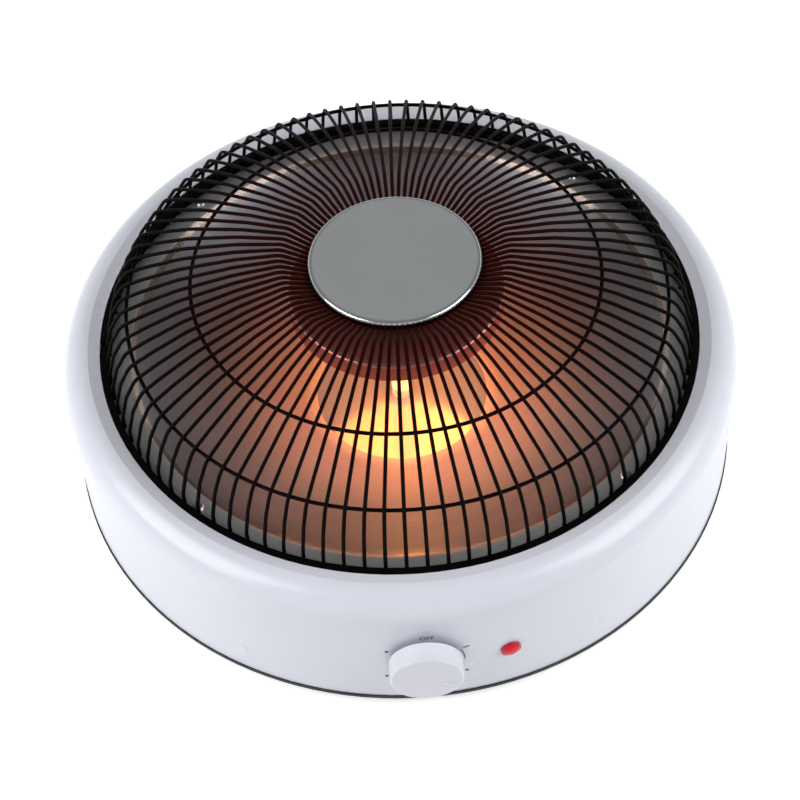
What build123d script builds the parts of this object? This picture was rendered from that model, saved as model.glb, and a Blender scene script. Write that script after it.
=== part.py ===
from build123d import *

import os
from math import atan, cos, degrees, hypot, pi, radians, sin, sqrt, tan

# Electric brazier: a round white housing on a steel base plate, with a polished dish and a ceramic
# heating core inside, a domed wire guard on top and a knob and lamp at the front.
# Millimetres, +Z up. The origin is on the axis at floor level, and the knob faces -Y.

# Driving dimensions of the outside
foot_height = 8.0
foot_radius = 11.0
foot_taper = 1.5
foot_inset = 32.8
foot_recess = 3.0
foot_count = 4
base_radius = 217.8
base_sheet = 1.2
base_rim_height = 2.6
base_rim_width = 3.4
rim_height = 103.5
band_height = 8.0
band_width = 3.8
band_sheet = 1.2
band_joint = 4.0
housing_wall = 2.5
housing_inset = 0.8
wall_taper = 2.0
shoulder_radius = 17.0
crest_rise = 2.0
lip_width = 7.2
lip_gap = 0.8
lip_drop = 0.2
ledge_gap = 2.0

# Driving dimensions of the hub
cap_radius = 53.5
cap_height = 3.2
cap_sheet = 1.0
cap_gap = 0.5
cap_overhang = 1.5
hub_plate_sheet = 1.2
stud_radius = 3.0
stud_collar_radius = 6.0
stud_spare = 1.5
deflector_radius = 68.5
deflector_rise = 38.0
deflector_skirt = 13.0
deflector_sheet = 1.0
deflector_round = 2.0
spacer_radius = 5.0

# Driving dimensions of the wire guard
wire_count = 96
wire_thickness = 2.1
wire_width = 2.2
wire_phase = 2.2
wire_lap = 6.0
ring_thickness = 2.4
ring_sides = 6
ring_gap = 0.45
inner_ring_inset = 63.1
outer_ring_inset = 21.1
hub_rise = 52.7
crown_reach = 17.0
crown_rise = 62.3
# Bends of a wire near the rim: distance in from the wire's foot, and height over the rim band
wire_bends = [(84.9, 57.9), (49.9, 49.0), (26.9, 40.0), (12.4, 33.3), (4.9, 20.5), (0.0, 4.0)]
wire_foot_lift = 2.0

# Driving dimensions of the dish
dish_sheet = 1.0
dish_inset = 15.0
dish_depth = 61.5
dish_floor_radius = 56.5
dish_end_slope = 40.0
dish_bend = 4.0
dish_screw_count = 4
dish_screw_boss = 4.0
dish_screw_spare = 2.0
flange_gap = 0.4

# Driving dimensions of the heating core, which stands on the dish's floor like a mushroom
core_head_radius = 57.0
core_head_height = 6.0
core_head_round = 1.5
core_post_radius = 6.5
core_stud_gap = 4.0
rod_radius = 4.0
rod_bore_radius = 2.5
rod_spare = 1.0
core_nut_height = 4.0
core_nut_flats = 13.0
top_cap_radius = 11.0
top_cap_height = 2.0
mount_plate_radius = 40.0
mount_plate_sheet = 1.5
coil_turns = 6
coil_radius = 2.0
coil_sides = 8
coil_inner_radius = 13.0
coil_margin = 5.0
terminal_radius = 1.6
terminal_rise = 4.0
cutout_place = 24.0
cutout_radius = 7.5
cutout_height = 7.0
cutout_flange_radius = 9.5
cutout_flange_height = 1.6
cutout_blade_spacing = 7.5
cutout_blade_length = 4.0

# Driving dimensions of the switch, knob and lamp
knob_height = 51.5
knob_radius = 21.8
knob_draft = 0.2
knob_length = 12.3
knob_gap = 0.8
knob_wall = 2.2
knob_face_wall = 4.0
knob_cavity = 8.0
knob_round = 1.2
knob_hub_radius = 6.0
pointer_angle = 117.0
pointer_centre = 14.0
pointer_length = 8.0
pointer_width = 2.6
pointer_height = 0.9
dial_radius = 30.4
dial_rise = 1.8
dial_plate = 6.0
dial_spread = 9.2
dial_round = 2.0
shaft_radius = 3.0
bush_radius = 5.0
bush_stand = 4.6
switch_width = 40.0
switch_depth = 24.0
switch_wall = 3.0
switch_corner = 4.0
cam_radius = 13.0
cam_thickness = 4.0
cam_room = 1.0
blade_width = 6.3
blade_thickness = 0.8
blade_length = 8.0
blade_spacing = 11.0
lamp_height = 46.0
lamp_angle = 13.6
lens_radius = 6.25
lens_rise = 2.4
lens_rim = 1.0
lens_step = 0.4
lamp_body_radius = 5.4
lamp_body_length = 22.0
lamp_pin_spacing = 5.0
lamp_pin_width = 4.0
lamp_pin_thickness = 0.8
lamp_pin_length = 6.0

# Driving dimensions of the cord inlet, which is at the back
cord_bore_radius = 3.75
inlet_width = 16.0
inlet_height = 24.0
inlet_flange = 3.0
inlet_flange_thickness = 2.5
inlet_sleeve_length = 12.0
inlet_sleeve_root = 7.0
inlet_sleeve_tip = 5.6
clamp_inset = 29.0
clamp_width = 34.0
clamp_depth = 9.0
clamp_height = 14.0
clamp_screw_x = 12.0
block_inset = 67.0
block_width = 44.0
block_depth = 18.0
block_height = 14.0

# Clearances and small hardware
fit_gap = 0.2
running_gap = 0.06
push_gap = 0.05
seat_gap = 0.3
weld_gap = 0.02
screw_radius = 1.5
pilot_radius = 1.6
screw_head_radius = 3.2
screw_head_height = 1.8
screw_head_edge = 0.9
screw_head_top_radius = 2.24
screw_head_room = 0.6
screw_length = 12.0
screw_spare = 1.0
base_screw_count = 6
base_boss_radius = 4.5
base_boss_height = 24.0
boss_rib = 3.0
vent_count = 12
vent_length = 52.0
vent_width = 6.0
vent_ring_radius = 95.0
nut_height = 5.0
nut_flats = 10.0
thin_nut_height = 2.4
thin_nut_flats = 5.5
bush_nut_flats = 13.0

# Heights and radii that follow from the driving dimensions
base_bottom = foot_height
base_top = base_bottom + base_sheet
housing_bottom = base_bottom + base_rim_height
flange_top = rim_height - band_height
ledge_top = flange_top - dish_sheet
crest_height = rim_height + crest_rise
wall_top = crest_height - shoulder_radius
wall_foot = base_radius - housing_inset
wall_radius = wall_foot - wall_taper
crest_radius = wall_radius - shoulder_radius
lip_radius = crest_radius - lip_width
lip_height = rim_height - lip_drop
rim_radius = lip_radius - lip_gap
band_inside = rim_radius - band_width
dish_radius = rim_radius - dish_inset
ledge_inner_radius = dish_radius + ledge_gap
dish_screw_place = (dish_radius + band_inside) / 2
dish_floor = flange_top - dish_depth
dish_underside = dish_floor - dish_sheet
foot_place = base_radius - foot_inset
clamp_place = wall_foot - clamp_inset
block_place = wall_foot - block_inset
deflector_top = rim_height + deflector_rise
deflector_underside = deflector_top - deflector_sheet
stud_bottom = deflector_underside - nut_height - stud_spare
rod_top = stud_bottom - core_stud_gap
core_top = rod_top - rod_spare - core_nut_height - top_cap_height
core_head_bottom = core_top - core_head_height
core_bore_radius = rod_radius + seat_gap

# Centre line of one wire from the hub to the rim: radius and height
hub_plate_radius = cap_radius - cap_overhang
wire_start = hub_plate_radius - wire_lap
wire_foot = rim_radius - band_sheet - ring_gap - ring_thickness - wire_thickness / 2
wire_line = [
    (wire_start, rim_height + hub_rise),
    (cap_radius + crown_reach, rim_height + crown_rise),
    *[(wire_foot - inset, rim_height + rise) for inset, rise in wire_bends],
    (wire_foot, flange_top + wire_foot_lift),
]


def wall_outside(height):
    """Radius of the housing's outer wall at a height below the shoulder."""
    share = (height - housing_bottom) / (wall_top - housing_bottom)
    return wall_foot + (wall_radius - wall_foot) * share


def front_plane(depth, height):
    """Plane square to -Y at that distance from the axis, seen from the front with +Z up."""
    return Plane(origin=(0, -depth, height), x_dir=(1, 0, 0), z_dir=(0, -1, 0))


def rear_plane(depth, height):
    """Plane square to +Y at that distance from the axis, seen from behind with +Z up."""
    return Plane(origin=(0, depth, height), x_dir=(-1, 0, 0), z_dir=(0, 1, 0))


def wire_span(radius):
    """The straight span of a wire over a radius: its start and its slope angle."""
    for (r0, h0), (r1, h1) in zip(wire_line, wire_line[1:]):
        if r0 <= radius < r1:
            return r0, h0, atan((h1 - h0) / (r1 - r0))


def wire_underside(radius):
    """Height of a wire's lower face at a radius, and the slope there."""
    r0, h0, slope = wire_span(radius)
    return h0 + (radius - r0) * tan(slope) - wire_thickness / 2 / cos(slope), slope


def bar_outline(points, thickness):
    """Closed outline of a bent flat bar around its centre line, with mitred corners."""
    left, right = [], []
    for i, (r, h) in enumerate(points):
        before = points[max(i - 1, 0)]
        after = points[min(i + 1, len(points) - 1)]
        a = (r - before[0], h - before[1]) if i else (after[0] - r, after[1] - h)
        b = (after[0] - r, after[1] - h) if after != (r, h) else a
        na = (-a[1] / hypot(*a), a[0] / hypot(*a))
        nb = (-b[1] / hypot(*b), b[0] / hypot(*b))
        scale = thickness / 2 / (1 + na[0] * nb[0] + na[1] * nb[1])
        step = ((na[0] + nb[0]) * scale, (na[1] + nb[1]) * scale)
        left.append((r + step[0], h + step[1]))
        right.append((r - step[0], h - step[1]))
    return left + right[::-1]


def finish(piece, name):
    """Labels a finished piece and writes its STEP file."""
    piece.part.label = name
    export_step(piece.part, f"parts/{name}.step")


os.makedirs("parts", exist_ok=True)

# Dial: raised round seat with sloping sides, which becomes part of the housing
dial_face = wall_outside(knob_height) + dial_rise
with BuildPart() as dial_seat:
    with BuildSketch(front_plane(dial_face - dial_plate, knob_height)):
        Circle(dial_radius + dial_spread)
    with BuildSketch(front_plane(dial_face, knob_height)):
        Circle(dial_radius)
    loft()
    fillet(dial_seat.faces().sort_by(Axis.Y)[0].edges(), dial_round)

# Housing: moulded ring shell with a rounded shoulder, a lip round the guard and a ledge for the dish
shell_inner_foot = wall_foot - housing_wall
lip_outside = lip_radius + housing_wall
slope_fall = (crest_height - lip_height) / (crest_radius - lip_radius)
inner_crest = crest_height - housing_wall
rim_inside = base_radius - base_rim_width
boss_circle = rim_inside - fit_gap - base_boss_radius
with BuildPart() as housing_shell:
    with BuildSketch(Plane.XZ):
        with BuildLine():
            Polyline(
                (shell_inner_foot, housing_bottom),
                (wall_foot, housing_bottom),
                (wall_radius, wall_top),
            )
            RadiusArc((wall_radius, wall_top), (crest_radius, crest_height), -shoulder_radius)
            Polyline(
                (crest_radius, crest_height),
                (lip_radius, lip_height),
                (lip_radius, ledge_top),
                (ledge_inner_radius, ledge_top),
                (ledge_inner_radius, ledge_top - housing_wall),
                (lip_outside, ledge_top - housing_wall),
                (lip_outside, inner_crest - slope_fall * (crest_radius - lip_outside)),
                (crest_radius, inner_crest),
            )
            RadiusArc(
                (crest_radius, inner_crest),
                (wall_radius - housing_wall, wall_top),
                shoulder_radius - housing_wall,
            )
            Line((wall_radius - housing_wall, wall_top), (shell_inner_foot, housing_bottom))
        make_face()
    revolve(axis=Axis.Z)
    # bosses for the base screws, joined to the wall by ribs
    with BuildSketch(Plane.XY.offset(base_top)):
        with PolarLocations(boss_circle, base_screw_count):
            Circle(base_boss_radius)
    extrude(amount=base_boss_height)
    with BuildSketch(Plane.XY.offset(housing_bottom)):
        with PolarLocations(boss_circle, base_screw_count):
            Rectangle(base_boss_radius + housing_wall, boss_rib, align=(Align.MIN, Align.CENTER))
    extrude(amount=base_top + base_boss_height - housing_bottom)
    # bosses under the ledge for the dish screws
    with BuildSketch(Plane.XY.offset(ledge_top - screw_length)):
        with PolarLocations(dish_screw_place, dish_screw_count, start_angle=180 / dish_screw_count):
            Circle(dish_screw_boss)
    extrude(amount=screw_length)
    # seat of the dial, and the hole for the switch's bush
    add(dial_seat.part)
    with BuildSketch(front_plane(dial_face, knob_height)):
        Circle(bush_radius + fit_gap)
    extrude(amount=-2 * dial_plate, mode=Mode.SUBTRACT)
    # lamp hole, square to the wall
    lamp_wall = wall_outside(lamp_height)
    lamp_out = (sin(radians(lamp_angle)), -cos(radians(lamp_angle)), 0)
    lamp_side = (cos(radians(lamp_angle)), sin(radians(lamp_angle)), 0)
    lamp_plane = Plane(
        origin=(lamp_wall * lamp_out[0], lamp_wall * lamp_out[1], lamp_height),
        x_dir=lamp_side,
        z_dir=lamp_out,
    )
    with BuildSketch(lamp_plane):
        Circle(lamp_body_radius + fit_gap)
    extrude(amount=2 * housing_wall, both=True, mode=Mode.SUBTRACT)
    # notch for the cord inlet, open at the bottom edge
    with BuildSketch(rear_plane(wall_foot, housing_bottom)):
        with Locations((0, (inlet_height - inlet_width / 2) / 2)):
            Rectangle(inlet_width, inlet_height - inlet_width / 2)
        with Locations((0, inlet_height - inlet_width / 2)):
            Circle(inlet_width / 2)
    extrude(amount=2 * housing_wall, both=True, mode=Mode.SUBTRACT)
    # pilot holes
    with BuildSketch(Plane.XY.offset(base_top)):
        with PolarLocations(boss_circle, base_screw_count):
            Circle(pilot_radius)
    extrude(amount=screw_length + housing_wall, mode=Mode.SUBTRACT)
    with BuildSketch(Plane.XY.offset(ledge_top - screw_length)):
        with PolarLocations(dish_screw_place, dish_screw_count, start_angle=180 / dish_screw_count):
            Circle(pilot_radius)
    extrude(amount=screw_length, mode=Mode.SUBTRACT)
finish(housing_shell, "housing_shell")

# Base plate: sheet-steel pan whose turned rim carries the housing
with BuildPart() as base_plate:
    with BuildSketch(Plane.XZ):
        with BuildLine():
            Polyline(
                (0, base_bottom),
                (base_radius, base_bottom),
                (base_radius, housing_bottom),
                (rim_inside, housing_bottom),
                (rim_inside, base_top),
                (0, base_top),
                close=True,
            )
        make_face()
    revolve(axis=Axis.Z)
    with BuildSketch(Plane.XY.offset(base_bottom)):
        with PolarLocations(vent_ring_radius, vent_count):
            SlotOverall(vent_length, vent_width)
        with PolarLocations(boss_circle, base_screw_count):
            Circle(screw_radius + fit_gap)
        with PolarLocations(foot_place, foot_count, start_angle=180 / foot_count):
            Circle(screw_radius + fit_gap)
        with Locations((0, block_place)):
            Circle(screw_radius + fit_gap)
        with Locations((-clamp_screw_x, clamp_place), (clamp_screw_x, clamp_place)):
            Circle(screw_radius + fit_gap)
    extrude(amount=base_sheet, mode=Mode.SUBTRACT)
finish(base_plate, "base_plate")


def pan_screw(length, head_down=True):
    """A round-head screw on the origin: the head's flat face at 0 and the shank upwards."""
    with BuildPart() as screw:
        with BuildSketch(Plane.XZ):
            with BuildLine():
                Polyline(
                    (0, -screw_head_height),
                    (screw_head_top_radius, -screw_head_height),
                    (screw_head_radius, -screw_head_edge),
                    (screw_head_radius, 0),
                    (screw_radius, 0),
                    (screw_radius, length),
                    (0, length),
                    close=True,
                )
            make_face()
        revolve(axis=Axis.Z)
    return screw.part if head_down else screw.part.rotate(Axis.X, 180)


def hex_nut(flats, height, bore):
    """A hexagon nut on the origin, standing on its lower face."""
    with BuildPart() as nut:
        with BuildSketch():
            RegularPolygon(flats / 2, 6, major_radius=False)
            Circle(bore, mode=Mode.SUBTRACT)
        extrude(amount=height)
    return nut.part


# Screws that hold the base plate to the housing
with BuildPart() as base_screws:
    with Locations((0, 0, base_bottom)):
        with PolarLocations(boss_circle, base_screw_count):
            add(pan_screw(screw_length))
finish(base_screws, "base_screws")

# Rubber feet, each with a recess for its screw
foot_spots = [
    (
        foot_place * cos(radians(180 / foot_count + 360 * i / foot_count)),
        foot_place * sin(radians(180 / foot_count + 360 * i / foot_count)),
    )
    for i in range(foot_count)
]
for number, spot in enumerate(foot_spots, start=1):
    with BuildPart() as foot:
        with BuildSketch():
            with Locations(spot):
                Circle(foot_radius - foot_taper)
        with BuildSketch(Plane.XY.offset(foot_height)):
            with Locations(spot):
                Circle(foot_radius)
        loft()
        with BuildSketch():
            with Locations(spot):
                Circle(screw_head_radius + fit_gap + screw_head_room)
        extrude(amount=foot_recess, mode=Mode.SUBTRACT)
        with BuildSketch():
            with Locations(spot):
                Circle(screw_radius + fit_gap)
        extrude(amount=foot_height, mode=Mode.SUBTRACT)
    finish(foot, f"foot_{number}")

# Screws up through the feet, and their nuts on the base plate
foot_screw_length = foot_height - foot_recess + base_sheet + thin_nut_height + screw_spare
with BuildPart() as foot_screws:
    for spot in foot_spots:
        with Locations((*spot, foot_recess)):
            add(pan_screw(foot_screw_length))
finish(foot_screws, "foot_screws")
with BuildPart() as foot_nuts:
    for spot in foot_spots:
        with Locations((*spot, base_top)):
            add(hex_nut(thin_nut_flats, thin_nut_height, screw_radius + running_gap))
finish(foot_nuts, "foot_nuts")

# Reflector: spun dish with a flat floor and a hollow side, whose flange lies on the housing's ledge
flange_radius = rim_radius - flange_gap
end_slope = radians(dish_end_slope)
side_end = (dish_radius - dish_bend * sin(end_slope), flange_top - dish_bend * (1 - cos(end_slope)))
side_back = (side_end[0] + dish_sheet * sin(end_slope), side_end[1] - dish_sheet * cos(end_slope))
side_chord = atan((side_end[1] - dish_floor) / (side_end[0] - dish_floor_radius))
floor_corner = dish_floor_radius + dish_sheet * tan(side_chord - end_slope / 2)
down_the_side = (-cos(end_slope), -sin(end_slope))
with BuildPart() as reflector_dish:
    with BuildSketch(Plane.XZ):
        with BuildLine():
            TangentArc(side_end, (dish_floor_radius, dish_floor), tangent=down_the_side)
            Polyline(
                (dish_floor_radius, dish_floor),
                (core_bore_radius, dish_floor),
                (core_bore_radius, dish_underside),
                (floor_corner, dish_underside),
            )
            TangentArc(side_back, (floor_corner, dish_underside), tangent=down_the_side)
            TangentArc(side_back, (dish_radius, ledge_top), tangent=(cos(end_slope), sin(end_slope)))
            Polyline(
                (dish_radius, ledge_top),
                (flange_radius, ledge_top),
                (flange_radius, flange_top),
                (dish_radius, flange_top),
            )
            TangentArc(side_end, (dish_radius, flange_top), tangent=(cos(end_slope), sin(end_slope)))
        make_face()
    revolve(axis=Axis.Z)
    with BuildSketch(Plane.XY.offset(ledge_top)):
        with PolarLocations(dish_screw_place, dish_screw_count, start_angle=180 / dish_screw_count):
            Circle(screw_radius + fit_gap)
    extrude(amount=dish_sheet, mode=Mode.SUBTRACT)
finish(reflector_dish, "reflector_dish")

# Screws through the dish's flange into the housing
with BuildPart() as dish_screws:
    with Locations((0, 0, flange_top)):
        with PolarLocations(dish_screw_place, dish_screw_count, start_angle=180 / dish_screw_count):
            add(pan_screw(screw_length - dish_screw_spare, head_down=False))
finish(dish_screws, "dish_screws")

# Guard wires: bent bars round the hub, kept square in section so that the faces stay few
with BuildPart() as guard_wire:
    with BuildSketch(Plane.XZ.offset(-wire_width / 2)):
        with BuildLine():
            Polyline(*bar_outline(wire_line, wire_thickness), close=True)
        make_face()
    extrude(amount=wire_width)
with BuildPart() as guard_wires:
    with PolarLocations(0, wire_count, start_angle=-90 - wire_phase):
        add(guard_wire.part)
finish(guard_wires, "guard_wires")

# Guard rings: each lies under the wires and touches their lower faces
for name, inset in (("guard_ring_inner", inner_ring_inset), ("guard_ring_outer", outer_ring_inset)):
    radius = rim_radius - inset
    underside, slope = wire_underside(radius)
    centre = (
        radius,
        underside - weld_gap - ring_thickness / 2 / cos(slope),
    )
    with BuildPart() as ring:
        with BuildSketch(Plane.XZ):
            with Locations(centre):
                RegularPolygon(
                    ring_thickness / 2, ring_sides, major_radius=False, rotation=degrees(slope)
                )
        revolve(axis=Axis.Z)
    finish(ring, name)

# Rim ring: welded outside the wires' feet, inside the rim band
wire_foot_outside = hypot(wire_foot + wire_thickness / 2, wire_width / 2)
rim_ring_height = flange_top + band_height / 2
with BuildPart() as guard_ring_rim:
    with BuildSketch(Plane.XZ):
        with Locations((wire_foot_outside + ring_thickness / 2, rim_ring_height)):
            RegularPolygon(
                ring_thickness / 2, ring_sides, major_radius=False, rotation=180 / ring_sides
            )
    revolve(axis=Axis.Z)
finish(guard_ring_rim, "guard_ring_rim")

# Rim band: channel hoop, open inwards, that holds the rim ring down on the dish's flange. Its ends
# stop short of each other at the left.
with BuildPart() as rim_band:
    with BuildSketch(Plane.XZ):
        with BuildLine():
            Polyline(
                (band_inside, rim_height),
                (rim_radius, rim_height),
                (rim_radius, flange_top),
                (band_inside, flange_top),
                (band_inside, flange_top + band_sheet),
                (rim_radius - band_sheet, flange_top + band_sheet),
                (rim_radius - band_sheet, rim_height - band_sheet),
                (band_inside, rim_height - band_sheet),
                close=True,
            )
        make_face()
    revolve(axis=Axis.Z)
    with BuildSketch(Plane.XY.offset(flange_top)):
        with Locations((-rim_radius, 0)):
            Rectangle(3 * band_width, band_joint)
    extrude(amount=band_height, mode=Mode.SUBTRACT)
finish(rim_band, "rim_band")

# Hub plate: dished disc that the wires' inner ends are welded to
plate_flat = wire_start - hub_plate_sheet
hub_start, hub_slope = wire_underside(wire_start)
plate_top = hub_start - weld_gap - (wire_start - plate_flat) * tan(hub_slope)
plate_edge = plate_top + (hub_plate_radius - plate_flat) * tan(hub_slope)
with BuildPart() as hub_plate:
    with BuildSketch(Plane.XZ):
        with BuildLine():
            Polyline(
                (stud_radius + fit_gap, plate_top),
                (plate_flat, plate_top),
                (hub_plate_radius, plate_edge),
                (hub_plate_radius, plate_edge - hub_plate_sheet),
                (plate_flat, plate_top - hub_plate_sheet),
                (stud_radius + fit_gap, plate_top - hub_plate_sheet),
                close=True,
            )
        make_face()
    revolve(axis=Axis.Z)
finish(hub_plate, "hub_plate")

# Hub cap: pressed stainless disc with a rolled edge, just clear of the wires
cap_slope = wire_span(cap_radius)[2]
cap_bottom = wire_underside(cap_radius)[0] + wire_thickness / cos(cap_slope) + cap_gap
cap_top = cap_bottom + cap_height
cap_round = cap_height / 2
with BuildPart() as hub_cap:
    with BuildSketch(Plane.XZ):
        with BuildLine():
            Line((0, cap_top), (cap_radius - cap_round, cap_top))
            RadiusArc(
                (cap_radius - cap_round, cap_top), (cap_radius, cap_top - cap_round), cap_round
            )
            RadiusArc(
                (cap_radius, cap_top - cap_round), (cap_radius - cap_round, cap_bottom), cap_round
            )
            Polyline(
                (cap_radius - cap_round, cap_bottom),
                (cap_radius - cap_round, cap_top - cap_sheet),
                (0, cap_top - cap_sheet),
                (0, cap_top),
            )
        make_face()
    revolve(axis=Axis.Z)
finish(hub_cap, "hub_cap")

# Hub stud: its collar stands between cap and hub plate, its thread carries the deflector
with BuildPart() as hub_stud:
    with BuildSketch(Plane.XZ):
        with BuildLine():
            Polyline(
                (0, stud_bottom),
                (stud_radius, stud_bottom),
                (stud_radius, plate_top),
                (stud_collar_radius, plate_top),
                (stud_collar_radius, cap_top - cap_sheet),
                (0, cap_top - cap_sheet),
                close=True,
            )
        make_face()
    revolve(axis=Axis.Z)
finish(hub_stud, "hub_stud")

# Spacer sleeve between the hub plate and the deflector
with BuildPart() as deflector_spacer:
    with BuildSketch(Plane.XY.offset(deflector_top)):
        Circle(spacer_radius)
        Circle(stud_radius + fit_gap, mode=Mode.SUBTRACT)
    extrude(amount=plate_top - hub_plate_sheet - deflector_top)
finish(deflector_spacer, "deflector_spacer")

# Deflector: pressed disc with a turned-down edge over the heating core
with BuildPart() as heat_deflector:
    with BuildSketch(Plane.XZ):
        with BuildLine():
            Line(
                (stud_radius + fit_gap, deflector_top),
                (deflector_radius - deflector_round, deflector_top),
            )
            RadiusArc(
                (deflector_radius - deflector_round, deflector_top),
                (deflector_radius, deflector_top - deflector_round),
                deflector_round,
            )
            Polyline(
                (deflector_radius, deflector_top - deflector_round),
                (deflector_radius, deflector_top - deflector_skirt),
                (deflector_radius - deflector_sheet, deflector_top - deflector_skirt),
                (deflector_radius - deflector_sheet, deflector_underside),
                (stud_radius + fit_gap, deflector_underside),
                (stud_radius + fit_gap, deflector_top),
            )
        make_face()
    revolve(axis=Axis.Z)
finish(heat_deflector, "heat_deflector")

with BuildPart() as deflector_nut:
    with Locations((0, 0, deflector_underside - nut_height)):
        add(hex_nut(nut_flats, nut_height, stud_radius + running_gap))
finish(deflector_nut, "deflector_nut")


# Ceramic core: post on the dish's floor and a round head, bored for the rod and the coil's terminals
coil_clear = coil_radius / cos(pi / coil_sides) + seat_gap
coil_height = core_head_bottom - coil_clear
coil_outer_radius = core_head_radius - coil_margin
coil_pitch = (coil_outer_radius - coil_inner_radius) / coil_turns


def coil_point(turn):
    """Point on the coil's centre line after that many turns."""
    radius = coil_inner_radius + coil_pitch * turn
    angle = 2 * pi * turn
    return Vector(radius * cos(angle), radius * sin(angle), coil_height)


def coil_heading(turn):
    """Unit tangent of the coil's centre line after that many turns."""
    small = 1e-4
    return (coil_point(turn + small) - coil_point(turn - small)).normalized()


def tangent_pair(start, heading, end, end_heading):
    """Middle point and tangent of two arcs that join two points along given tangents."""
    gap = end - start
    both = heading + end_heading
    turn = 2 * (1 - heading.dot(end_heading))
    reach = (-gap.dot(both) + sqrt(gap.dot(both) ** 2 + turn * gap.dot(gap))) / turn
    first = start + heading * reach
    last = end - end_heading * reach
    return (first + last) * 0.5, (last - first).normalized()


terminal_reach = 2 * coil_radius + terminal_radius + seat_gap
inner_terminal = coil_point(0) - coil_heading(0) * terminal_reach
outer_terminal = coil_point(coil_turns) + coil_heading(coil_turns) * terminal_reach
terminal_spots = [(inner_terminal.X, inner_terminal.Y), (outer_terminal.X, outer_terminal.Y)]
with BuildPart() as heating_core:
    with BuildSketch(Plane.XZ):
        with BuildLine():
            Polyline(
                (core_bore_radius, dish_floor),
                (core_post_radius, dish_floor),
                (core_post_radius, core_head_bottom - core_head_round),
            )
            RadiusArc(
                (core_post_radius, core_head_bottom - core_head_round),
                (core_post_radius + core_head_round, core_head_bottom),
                core_head_round,
            )
            Polyline(
                (core_post_radius + core_head_round, core_head_bottom),
                (core_head_radius, core_head_bottom),
                (core_head_radius, core_top - core_head_round),
                (core_head_radius - core_head_round, core_top),
                (core_bore_radius, core_top),
                (core_bore_radius, dish_floor),
            )
        make_face()
    revolve(axis=Axis.Z)
    with BuildSketch(Plane.XY.offset(core_head_bottom)):
        with Locations(*terminal_spots):
            Circle(terminal_radius + fit_gap)
    extrude(amount=core_head_height, mode=Mode.SUBTRACT)
finish(heating_core, "heating_core")

# Heating coil: one unbroken tube wound flat under the core's head, on pairs of tangent arcs
with BuildPart() as heating_coil:
    with BuildLine():
        lead = coil_point(0) - coil_heading(0) * 2 * coil_radius
        Line(lead, coil_point(0))
        for half in range(2 * coil_turns):
            here = coil_point(half / 2)
            there = coil_point((half + 1) / 2)
            middle, heading = tangent_pair(
                here, coil_heading(half / 2), there, coil_heading((half + 1) / 2)
            )
            TangentArc(here, middle, tangent=coil_heading(half / 2))
            TangentArc(middle, there, tangent=heading)
        tail = coil_point(coil_turns) + coil_heading(coil_turns) * 2 * coil_radius
        Line(coil_point(coil_turns), tail)
    with BuildSketch(Plane(origin=lead, z_dir=coil_heading(0))):
        RegularPolygon(coil_radius, coil_sides, major_radius=False)
    sweep()
print("coil gap between turns", round(coil_pitch - 2 * coil_radius, 2))
finish(heating_coil, "heating_coil")

# Terminals at the two ends of the coil, up through the core's head
with BuildPart() as coil_terminals:
    with BuildSketch(Plane.XY.offset(coil_height - coil_radius)):
        with Locations(*terminal_spots):
            Circle(terminal_radius)
    extrude(amount=core_top + terminal_rise - coil_height + coil_radius)
finish(coil_terminals, "coil_terminals")

# Top cap, hollow rod, nuts and the plate under the dish that clamp the core to the reflector
with BuildPart() as core_top_cap:
    with BuildSketch(Plane.XY.offset(core_top)):
        Circle(top_cap_radius)
        Circle(rod_radius + fit_gap, mode=Mode.SUBTRACT)
    extrude(amount=top_cap_height)
finish(core_top_cap, "core_top_cap")

mount_plate_bottom = dish_underside - mount_plate_sheet
rod_bottom = mount_plate_bottom - core_nut_height - rod_spare
with BuildPart() as core_mount_plate:
    with BuildSketch(Plane.XY.offset(mount_plate_bottom)):
        Circle(mount_plate_radius)
        Circle(rod_radius + fit_gap, mode=Mode.SUBTRACT)
    extrude(amount=mount_plate_sheet)
finish(core_mount_plate, "core_mount_plate")
with BuildPart() as core_rod:
    with BuildSketch(Plane.XY.offset(rod_bottom)):
        Circle(rod_radius)
        Circle(rod_bore_radius, mode=Mode.SUBTRACT)
    extrude(amount=rod_top - rod_bottom)
finish(core_rod, "core_rod")
with BuildPart() as core_nuts:
    with Locations((0, 0, mount_plate_bottom - core_nut_height), (0, 0, core_top + top_cap_height)):
        add(hex_nut(core_nut_flats, core_nut_height, rod_radius + running_gap))
finish(core_nuts, "core_nuts")

# Thermal cut-out: snap-disc case with a flange, on the plate's underside, and its two blades
with BuildPart() as thermal_cutout:
    with BuildSketch(Plane.XY.offset(mount_plate_bottom)):
        with Locations((0, cutout_place)):
            Circle(cutout_flange_radius)
    extrude(amount=-cutout_flange_height)
    with BuildSketch(Plane.XY.offset(mount_plate_bottom - cutout_flange_height)):
        with Locations((0, cutout_place)):
            Circle(cutout_radius)
    extrude(amount=-cutout_height)
    with BuildSketch(Plane.XY.offset(mount_plate_bottom - cutout_flange_height - cutout_height)):
        with Locations((0, cutout_place)):
            with GridLocations(cutout_blade_spacing, 0, 2, 1):
                Rectangle(blade_thickness, blade_width)
    extrude(amount=-cutout_blade_length)
finish(thermal_cutout, "thermal_cutout")

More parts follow.
